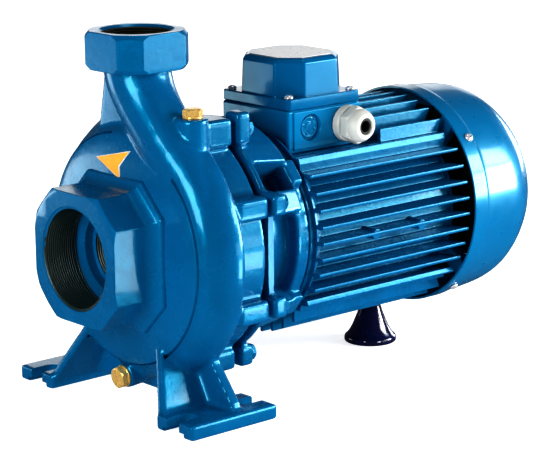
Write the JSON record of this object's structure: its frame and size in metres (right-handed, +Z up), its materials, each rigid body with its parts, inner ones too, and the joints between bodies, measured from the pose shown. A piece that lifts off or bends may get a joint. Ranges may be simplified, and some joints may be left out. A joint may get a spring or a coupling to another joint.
{
  "type": "centrifugal pump",
  "caption": "Close-coupled centrifugal pump: threaded suction port on the shaft line, threaded delivery port on top, finned electric motor with terminal box, on casing feet and a rubber foot.",
  "frame": {"origin": "on the floor, under the middle of the overall length and on the shaft line", "axes": "+X along the shaft from the suction port towards the motor, +Y towards the side away from the cable gland, +Z up"},
  "size_m": [0.4718, 0.2444, 0.3229],
  "materials": {
    "casting_blue": "gloss paint over a slightly rough casting",
    "frame_blue": "gloss paint",
    "cowl_blue": "smooth gloss paint on pressed steel",
    "box_blue": "smooth gloss paint",
    "dark_steel": "dark bare casting",
    "brass": "bright turned",
    "chrome": "bright plated",
    "arrow_yellow": "satin",
    "gland_grey": "satin moulded",
    "seal_black": "matt",
    "rubber_black": "glossy moulded rubber",
    "label_white": "satin, blank"
  },
  "bodies": {
    "root": {"pump_casing": "casting_blue", "vent_plug": "brass", "drain_plug": "brass", "flow_arrow": "arrow_yellow", "impeller": "dark_steel", "back_cover": "dark_steel", "motor_bracket": "casting_blue", "bracket_bolt_1": "casting_blue", "bracket_bolt_2": "casting_blue", "bracket_bolt_3": "casting_blue", "bracket_bolt_4": "casting_blue", "bracket_bolt_5": "casting_blue", "bracket_bolt_6": "casting_blue", "bracket_bolt_7": "casting_blue", "bracket_bolt_8": "casting_blue", "motor_frame": "frame_blue", "end_shield": "frame_blue", "cooling_fan": "seal_black", "fan_cowl": "cowl_blue", "cowl_screw_1": "chrome", "cowl_screw_2": "chrome", "cowl_screw_3": "chrome", "cowl_screw_4": "chrome", "terminal_box": "box_blue", "knockout_blank": "box_blue", "terminal_lid": "box_blue", "label_plate": "label_white", "lid_screw_1": "chrome", "lid_screw_2": "chrome", "lid_screw_3": "chrome", "lid_screw_4": "chrome", "gland_body": "gland_grey", "gland_nut": "gland_grey", "gland_seal": "seal_black", "rubber_foot": "rubber_black"}
  },
  "joints": []
}
